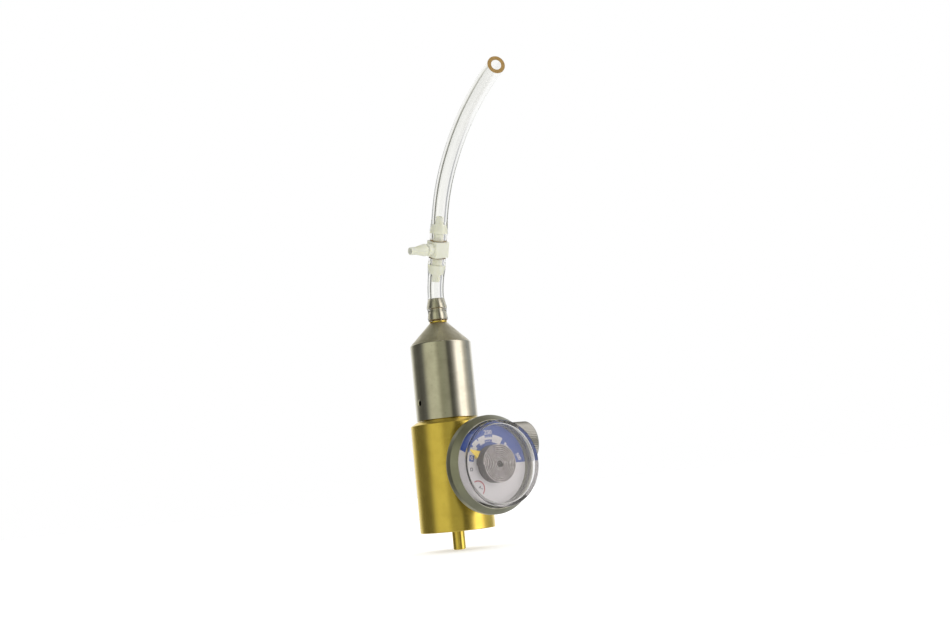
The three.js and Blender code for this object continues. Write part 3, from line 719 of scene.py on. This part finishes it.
def gauge_mounting():
    stem = [
        (0, 8), (3.9, 8, 0.3), (3.9, 16.25), (5, 16.25, 0.1), (5, 17, 0.1), (3, 17), (3, 31.3, 0.3), (0, 31.3),
    ]
    piece = turned("gauge_nut", stem, "brass_gauge", GAUGE, segments=96)
    carve(piece, hexagon(11, 16.8, 23.6, GAUGE), "UNION")
    drilled(piece, 1.5, GAUGE, 7, 11.6)
    drilled(piece, 0.5, GAUGE, 11, 30)
    one_look(piece, "brass_gauge")
    place_piece(piece, "root", "brass", "gauge_stem")


def gauge_case():
    back, radius, inside, lip = -CASE_HIGH.y, CASE_HIGH.x, 18.9, 17.6
    front = gauge_front(CASE_LOW)
    outline = [
        (3.4, back), (16.5, back, 1.5), (19.2, back + 1.2, 1.0), (radius, back + 2.8, 0.8),
        (radius, 32, 0.35), (lip + 0.3, front, 0.2), (lip, front, 0.1), (lip, 33.6), (inside, 32.3),
        (inside, back + 1), (3.4, back + 1),
    ]
    piece = turned("gauge_cup", outline, "gauge_steel", GAUGE, closed=True, segments=192)
    place_piece(piece, "root", "gauge_steel", "gauge_case")


def gauge_lens():
    front = gauge_front(LENS_LOW)
    ceiling = front - 1.1
    outline = [
        (0, ceiling), (16.1, ceiling, 0.5), (16.1, 30.9), (18.6, 30.9), (18.6, 31.9, 0.1),
        (17.3, 32.2, 0.1), (17.3, front, 0.3), (0, front),
    ]
    piece = turned("gauge_window", outline, "lens", GAUGE, segments=192)
    place_piece(piece, "root", "clear_lens", "gauge_lens")


DIAL_FACE = gauge_front(DIAL_LOW)
INK = 0.02  # how far each printed layer stands above the one below


def dial_plate():
    back, radius = -DIAL_HIGH.y, DIAL_HIGH.x
    outline = [(3.4, back), (radius, back, 0.08), (radius, DIAL_FACE, 0.08), (3.4, DIAL_FACE)]
    piece = turned("dial_plate", outline, "dial_white", GAUGE, closed=True, segments=160)
    place_piece(piece, "root", "dial_paint", "gauge_dial")


def sector_outline(inner, outer, start, end):
    """The outline of a piece of a ring between two angles, in degrees."""
    steps = max(2, round(abs(end - start) / 3))
    angles = [math.radians(start + (end - start) * k / steps) for k in range(steps + 1)]
    return [(outer * math.cos(a), outer * math.sin(a)) for a in angles] + [
        (inner * math.cos(a), inner * math.sin(a)) for a in reversed(angles)
    ]


def ink_layer(name, look, layer, outlines):
    """One colour of print: thin raised outlines joined in one piece."""
    whole = bmesh.new()
    bottom = DIAL_FACE + INK * (layer - 0.5)
    for outline in outlines:
        whole.from_mesh(prism_mesh("ink", outline, bottom, bottom + INK * 0.9, GAUGE))
    mesh = bpy.data.meshes.new(name)
    whole.to_mesh(mesh)
    whole.free()
    place_piece(finished(name, mesh, look), "root", "dial_paint")


def number(name, text, look, size, spot, degrees):
    """A number printed flat on the dial, centred at a spot."""
    curve = bpy.data.curves.new(name, "FONT")
    curve.body, curve.size = text, size
    curve.align_x, curve.align_y = "CENTER", "CENTER"
    curve.extrude, curve.resolution_u, curve.offset = INK / 2, 4, 0.05
    lettering = bpy.data.objects.new(name, curve)
    bpy.context.collection.objects.link(lettering)
    bpy.context.view_layer.update()
    mesh = bpy.data.meshes.new_from_object(lettering.evaluated_get(bpy.context.evaluated_depsgraph_get()))
    bpy.data.objects.remove(lettering)
    place = Matrix.Translation((*spot, DIAL_FACE + 3.5 * INK)) @ Matrix.Rotation(math.radians(degrees), 4, "Z")
    mesh.transform(Matrix.Scale(MM, 4) @ GAUGE @ place)
    place_piece(finished(name, mesh, look), "root", "dial_paint")


def box_outline(centre, width, height, degrees=0.0):
    """A rectangle on the dial, turned about its centre."""
    turn = Matrix.Rotation(math.radians(degrees), 2)
    spots = [turn @ Vector((x * width / 2, y * height / 2)) for x, y in ((-1, -1), (1, -1), (1, 1), (-1, 1))]
    return [tuple(spot + Vector(centre)) for spot in spots]


ZERO_BOX = (-9.0, 3.1)
UNIT_MARK = (-9.6, -1.3)
ARC_CENTRE = (-7.3, -9.05)


def dial_print():
    ink_layer("dial_blue_field", "dial_blue", 1, [sector_outline(3.6, 16.9, 0, 153)])
    band = [(10.1, 11.05, 57, 156)]
    outer_teeth = [(11.0, 12.1, a, b) for a, b in ((57, 81.5), (99, 116.5), (119, 134), (139, 156))]
    inner_teeth = [(9.0, 10.15, a, b) for a, b in ((57, 82), (102, 118), (130, 156))]
    rim = [(10.4, 11.6, 43, 48), (10.4, 11.1, 16, 44), (9.4, 10.45, 16, 46)]
    ticks = [(9.2, 9.75, a, a + 2) for a in (87, 92, 97)] + [(11.2, 11.6, a, a + 1.5) for a in (85, 90, 95)]
    ink_layer(
        "dial_white_scale", "dial_white", 2,
        [sector_outline(*spec) for spec in band + outer_teeth + inner_teeth + rim + ticks],
    )
    ink_layer("dial_zero_box", "dial_blue", 3, [box_outline(ZERO_BOX, 2.2, 2.5, -14)])
    arc = [(x + ARC_CENTRE[0], y + ARC_CENTRE[1]) for x, y in sector_outline(2.8, 3.25, -46, 118)]
    ink_layer("dial_red_arc", "dial_red", 2, [arc])
    x, y = UNIT_MARK
    marks = [box_outline((x - 0.35, y), 0.28, 1.5), box_outline((x + 0.1, y + 0.6), 0.6, 0.26),
             box_outline((x + 0.55, y), 0.28, 1.1), box_outline((x + 0.2, y - 0.5), 0.5, 0.26)]
    small = [box_outline((-6.5, -8.5), 1.3, 0.26, 40), box_outline((-6.1, -8.9), 0.26, 0.8, 40),
             box_outline((-5.4, -9.3), 0.4, 0.4, 40)]
    ink_layer("dial_black_marks", "dial_black", 2, marks + small)
    number("dial_number_0", "0", "dial_white", 2.2, ZERO_BOX, 4)
    number("dial_number_250", "250", "dial_white", 2.5, (-0.2, 12.95), 0)
    number("dial_number_500", "500", "dial_white", 2.1, (13.45, 2.3), -62)


COIL_BACK, COIL_FRONT = -COIL_HIGH.y, gauge_front(COIL_LOW)
COIL_OUTER, COIL_INNER, COIL_TURNS, COIL_STRIP = 8, 1.5, 8.5, 0.42
COIL_EDGE, COIL_TAIL = 0.08, 0.12  # the strip's bevel, and the turns over which its end closes in


def bourdon_coil():
    """A flattened tube wound in a spiral: its flat, bevelled edges are the rings at the front."""
    steps = round(COIL_TURNS * 72)
    pitch = (COIL_OUTER - COIL_INNER) / COIL_TURNS
    half = COIL_STRIP / 2
    section = [
        (half, COIL_BACK), (half, COIL_FRONT - COIL_EDGE), (half - COIL_EDGE, COIL_FRONT),
        (COIL_EDGE - half, COIL_FRONT), (-half, COIL_FRONT - COIL_EDGE), (-half, COIL_BACK),
    ]
    points, faces = [], []
    for i in range(steps + 1):
        turns = COIL_TURNS * i / steps
        angle = 2 * math.pi * turns
        tail = max(0.0, 1 - (COIL_TURNS - turns) / COIL_TAIL)
        radius = COIL_INNER + pitch * turns - half - (pitch - COIL_STRIP) * tail ** 2
        points += [((radius + r) * math.cos(angle), (radius + r) * math.sin(angle), z) for r, z in section]
    count = len(section)
    for i in range(steps):
        for k in range(count):
            n = (k + 1) % count
            faces.append((i * count + k, i * count + n, (i + 1) * count + n, (i + 1) * count + k))
    faces += [tuple(range(count)), tuple(steps * count + k for k in range(count))]
    mesh = mesh_from("coil", points, faces, GAUGE)
    piece = finished("bourdon_spiral", mesh, "coil_side_painted_shade", "coil_edge")
    front = -(COIL_FRONT - COIL_EDGE) * MM
    # Faces at the front bevel and face take the plain metal; the sides, deep in the gaps between the turns,
    # take the near-black painted shade.
    for face in mesh.polygons:
        face.material_index = 1 if face.center.y < front else 0
    place_piece(piece, "root", "coil_alloy", "bourdon_coil")
    # The hub uses the same near-black material as the coil's shaded sides.
    hub = [(0, COIL_BACK), (0.72, COIL_BACK), (0.72, COIL_FRONT - 0.4, 0.15), (0.35, COIL_FRONT - 0.4),
           (0.3, COIL_FRONT - 1.4), (0, COIL_FRONT - 1.5)]
    place_piece(turned("coil_hub", hub, "coil_side_painted_shade", GAUGE, segments=40), "root", "coil_alloy", "coil_arbor")


POINTER_REST = math.radians(149)
POINTER_PLATE, POINTER_ROOT, POINTER_TIP = 0.35, 8.3, 12.9


def pointer():
    """A flat arm under the coil, a riser beside it and the painted blade."""
    back, front = -POINTER_HIGH.y, gauge_front(POINTER_LOW)
    turn = GAUGE @ Matrix.Rotation(POINTER_REST, 4, "Z")
    top, root, edge = back + POINTER_PLATE, POINTER_ROOT, POINTER_ROOT + POINTER_PLATE
    hub = [(3.2, back), (4.2, back, 0.08), (4.2, top, 0.08), (3.2, top)]
    piece = turned("pointer_blade", hub, "pointer", turn, closed=True, segments=72)
    arm = [(3.7, -0.9), (edge, -1.6), (edge, 1.6), (3.7, 0.9)]
    foot = [(root, -1.2), (edge, -1.2), (edge, 1.2), (root, 1.2)]
    blade = [(root, -1.6), (POINTER_TIP, -0.12), (POINTER_TIP, 0.12), (root, 1.6)]
    for outline, low, high in ((arm, back + 0.02, top - 0.02), (foot, back + 0.1, front - 0.1),
                               (blade, front - POINTER_PLATE, front)):
        carve(piece, prism_mesh("plate", outline, low, high, turn), "UNION")
    one_look(piece, "pointer")
    edges = piece.modifiers.new("edges", "BEVEL")
    edges.width, edges.segments, edges.angle_limit = 0.05 * MM, 2, math.radians(40)
    place_piece(piece, "pointer", "pointer_paint", "pointer")


gauge_mounting()
gauge_case()
gauge_lens()
dial_plate()
dial_print()
bourdon_coil()
pointer()


# ---------- on/off valve and knob ----------
KNURL_TEETH, KNURL_DEPTH = 72, 0.32
KNOB_INNER, KNOB_OUTER = KNOB_LOW.x, KNOB_HIGH.x
KNOB_RADIUS = KNOB_HIGH.y


def valve_gland():
    bore, nose, low, high = 2.25, 4, GLAND_LOW.x, GLAND_HIGH.x
    outline = [
        (bore, low), (4.9, low, 0.2), (4.9, 16.5), (nose, 16.5), (nose, high, 0.5), (bore, high),
    ]
    piece = turned("gland_nut", outline, "brass_valve", VALVE, closed=True, segments=96)
    nut = finished("nut", hexagon(11, 16.4, 20.3, VALVE), "brass_valve")
    drilled(nut, nose - 0.5, VALVE, 15, 22)
    carve(piece, nut.data, "UNION")
    bpy.data.objects.remove(nut)
    one_look(piece, "brass_valve")
    place_piece(piece, "root", "brass", "valve_gland")


def valve_stem():
    low, high = STEM_LOW.x, STEM_HIGH.x
    outline = [
        (1.3, low), (2, low, 0.25), (2, 18.4, 0.05), (1.2, 18.4), (1.2, 19.8), (2, 19.8, 0.05),
        (2, high, 0.3), (0, high),
    ]
    piece = turned("stem_rod", outline, "stem_steel", VALVE, segments=64)
    place_piece(piece, "knob", "gauge_steel", "valve_stem")


def knurled(angle, radius, height):
    """Straight V-shaped teeth between the knob's two chamfers."""
    if radius < KNOB_RADIUS - 0.05:
        return radius
    tooth = abs((angle * KNURL_TEETH / (2 * math.pi)) % 1 * 2 - 1)
    return radius - KNURL_DEPTH * tooth


def knob():
    inner, outer, edge = KNOB_INNER, KNOB_OUTER, 0.9
    outline = [
        (0, 38.4), (2.3, 38.4), (2.3, inner + 3.2), (6.4, inner + 3.2, 0.2), (6.4, inner, 0.15),
        (KNOB_RADIUS - edge, inner, 0.15), (KNOB_RADIUS, inner + edge), (KNOB_RADIUS, outer - edge),
        (KNOB_RADIUS - edge, outer, 0.2), (2.5, outer, 0.4), (2.2, outer - 0.25, 0.2), (0, outer - 0.25),
    ]
    # The knob wears the darkened nickel: partly painted shade, partly its own greyer tone.
    piece = turned("knurled_knob", outline, "knob_nickel_painted_shade", VALVE, segments=KNURL_TEETH * 6, wave=knurled)
    across = Matrix.Translation(((SCREW_LOW.x + SCREW_HIGH.x) / 2, 0, VALVE_HEIGHT)) @ Matrix.Rotation(
        -math.pi / 2, 4, "X")
    drilled(piece, 1.25, across, 1, KNOB_RADIUS + 0.1, 0.2)
    place_piece(piece, "knob", "nickel_plate", "knob")
    low, high, socket = SCREW_LOW.y, SCREW_HIGH.y, 0.55
    screw = [(0, low), (0.7, low), (1, low + 0.35), (1, high, 0.12), (0, high)]
    grub = turned("grub_screw", screw, "spring_steel", across, segments=48)
    key = [(socket * math.cos(math.pi * k / 3), socket * math.sin(math.pi * k / 3)) for k in range(6)]
    carve(grub, prism_mesh("key", key, high - 1.2, high + 1, across))
    place_piece(grub, "knob", "spring_steel", "knob_set_screw")


valve_gland()
valve_stem()
knob()


# ---------- tee ----------
def tee_stub(length, place):
    """A barbed stub: a neck, a sharp ridge and a long cone to its tip."""
    outline = [
        (0, 1), (STUB_NECK, 1), (STUB_NECK, STUB_RIDGE_AT - 0.2), (STUB_RIDGE, STUB_RIDGE_AT, 0.06),
        (STUB_RIDGE, STUB_RIDGE_AT + 0.3, 0.1), (STUB_TIP + 0.1, STUB_CONE_END, 0.6), (STUB_TIP, length, 0.2),
        (0, length),
    ]
    return lathe_mesh("stub", outline, place, 72)


def tee():
    half, edge = TEE_SIDE / 2, 0.45
    square = [(half, half), (-half, half), (-half, -half), (half, -half)]
    piece = finished("barbed_tee", prism_mesh("block", square, -half, half, TEE), "tee")
    rounding = piece.modifiers.new("rounding", "BEVEL")
    rounding.width, rounding.segments = edge * MM, 4
    branch = TEE @ Matrix.Rotation(-math.pi / 2, 4, "Y")
    flipped = TEE @ Matrix.Rotation(math.pi, 4, "X")
    for length, place in ((TEE_RUN, TEE), (TEE_RUN, flipped), (TEE_BRANCH, branch)):
        carve(piece, tee_stub(length, place), "UNION")
    collar = [(0, 1), (2.6, 1), (2.6, half + 2.4, 0.3), (0, half + 2.4)]
    carve(piece, lathe_mesh("collar", collar, branch, 72), "UNION")
    drilled(piece, TEE_BORE, TEE, -TEE_RUN - 1, TEE_RUN + 1)
    drilled(piece, TEE_BORE, branch, 0, TEE_BRANCH + 0.01, 0.25)
    one_look(piece, "tee")
    place_piece(piece, "root", "tee_plastic", "tee_fitting")


tee()


# ---------- CAD pieces that keep their shape ----------
KEPT = {
    "rubber": [
        "inlet_gasket", "bonnet_seal", "piston_head_seal", "piston_stem_seal", "lens_gasket", "stem_seal",
    ],
    "bronze": ["inlet_filter"],
    "brass": [
        "regulator_nozzle", "piston", "flow_orifice", "gauge_restrictor", "valve_poppet", "pointer_stop",
    ],
    "seal_plastic": ["piston_seat", "poppet_seal"],
    "spring_steel": ["piston_spring"],
}
for look, nodes in KEPT.items():
    for node in nodes:
        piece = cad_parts[node]
        for slot in piece.material_slots:
            slot.link = "OBJECT"
            slot.material = MATERIALS[look]


# ---------- floor and light ----------
FLOOR_SIZE = 6.0
FLOOR_DROP = 0.1  # how far the floor lies under the probe's tip, in millimetres


def floor():
    level = PROBE_LOW.z - FLOOR_DROP
    reach = FLOOR_SIZE / MM / 2
    square = [(-reach, -reach, level), (reach, -reach, level), (reach, reach, level), (-reach, reach, level)]
    look = Look("floor", (0.9, 0.9, 0.9), 0.8, Emission_Color=(1, 1, 1, 1), Emission_Strength=0.45)
    look.set(Base_Color=look.mixed(look.noise(3.0), (0.90, 0.90, 0.90), (0.86, 0.86, 0.86)))
    MATERIALS["floor"] = look.material
    piece = finished("floor", mesh_from("floor", square, [(0, 1, 2, 3)]), "floor")
    piece.visible_glossy = False
    piece.visible_transmission = False


# Brightness of the studio around the object, by degrees from the camera's side, anticlockwise from above.
STUDIO = [
    (0, 0.34, 0.35, 0.26), (14, 0.36, 0.36, 0.28), (20, 0.26, 0.26, 0.20), (25, 0.08, 0.08, 0.07),
    (36, 0.13, 0.13, 0.12), (45, 0.38, 0.37, 0.35), (52, 0.85, 0.82, 0.80), (60, 1.7, 1.65, 1.6),
    (80, 1.8, 1.7, 1.6), (89, 1.1, 1.05, 1.0), (99, 0.56, 0.55, 0.52), (120, 0.36, 0.38, 0.40),
    (136, 0.42, 0.43, 0.44), (150, 0.9, 0.9, 0.9), (156, 1.0, 1.0, 1.0), (204, 1.0, 1.0, 0.98),
    (212, 0.9, 0.9, 0.85), (226, 0.45, 0.45, 0.40), (240, 0.15, 0.15, 0.13), (262, 0.10, 0.10, 0.09),
    (280, 0.13, 0.13, 0.12), (288, 0.26, 0.26, 0.22), (296, 0.48, 0.48, 0.38), (306, 0.62, 0.62, 0.48),
    (334, 0.64, 0.65, 0.50), (342, 0.50, 0.50, 0.38), (349, 0.35, 0.35, 0.26), (360, 0.34, 0.35, 0.26),
]
SOFT_FROM = (0.7, -0.4, 0.59)  # the side that plain surfaces get most of their light from
CAMERA_SIDE = math.pi / 2 - CAMERA_AZIMUTH  # the camera's direction, clockwise from +X as seen from above


def studio_light():
    """A studio whose walls give metal its bands, while plain surfaces and clear ones see soft white."""
    world = bpy.data.worlds.new("studio")
    bpy.context.scene.world = world
    world.use_nodes = True
    tree = world.node_tree
    background = tree.nodes["Background"]

    def add(kind, settings=None, *inputs):
        node = tree.nodes.new(kind)
        for name, value in (settings or {}).items():
            setattr(node, name, value)
        for socket, value in zip(node.inputs, inputs):
            if isinstance(value, bpy.types.NodeSocket):
                tree.links.new(value, socket)
            else:
                socket.default_value = value
        return node

    def calc(operation, *inputs):
        return add("ShaderNodeMath", {"operation": operation}, *inputs).outputs[0]

    def blend(share, first, second):
        node = add("ShaderNodeMix", {"data_type": "RGBA"})
        for socket, value in ((node.inputs[0], share), (node.inputs[6], first), (node.inputs[7], second)):
            if isinstance(value, bpy.types.NodeSocket):
                tree.links.new(value, socket)
            else:
                socket.default_value = value
        return node.outputs[2]

    direction = add("ShaderNodeTexCoord").outputs["Generated"]
    east, north, height = add("ShaderNodeSeparateXYZ", None, direction).outputs
    turn = calc("ADD", calc("ARCTAN2", north, east), CAMERA_SIDE)
    place = calc("FRACT", calc("DIVIDE", turn, 2 * math.pi))
    bands = add("ShaderNodeValToRGB", None, place)
    ramp = bands.color_ramp
    while len(ramp.elements) < len(STUDIO):
        ramp.elements.new(1.0)
    for element, (degrees, *color) in zip(ramp.elements, STUDIO):
        element.position = degrees / 360
        element.color = (*color, 1)
    overhead = add("ShaderNodeMapRange", None, height, 0.55, 0.95).outputs[0]
    eastward = add("ShaderNodeMapRange", None, east, -0.3, 0.7).outputs[0]
    ceiling = blend(eastward, (0.20, 0.20, 0.15, 1), (0.34, 0.33, 0.28, 1))
    walls = blend(overhead, bands.outputs[0], ceiling)
    table = add("ShaderNodeMapRange", None, height, -0.5, -0.9).outputs[0]
    mirrored = blend(table, walls, (0.5, 0.5, 0.45, 1))
    side = add("ShaderNodeVectorMath", {"operation": "DOT_PRODUCT"}, direction, SOFT_FROM).outputs["Value"]
    facing = add("ShaderNodeMapRange", None, side, -1.0, 1.0).outputs[0]
    soft = blend(facing, (0.5, 0.5, 0.49, 1), (1.15, 1.15, 1.15, 1))
    path = add("ShaderNodeLightPath")
    lit = blend(path.outputs["Is Diffuse Ray"], mirrored, soft)
    tree.links.new(blend(path.outputs["Is Camera Ray"], lit, (1.0, 1.0, 1.0, 1)), background.inputs["Color"])


floor()
studio_light()
bpy.context.scene.view_settings.view_transform = "Standard"
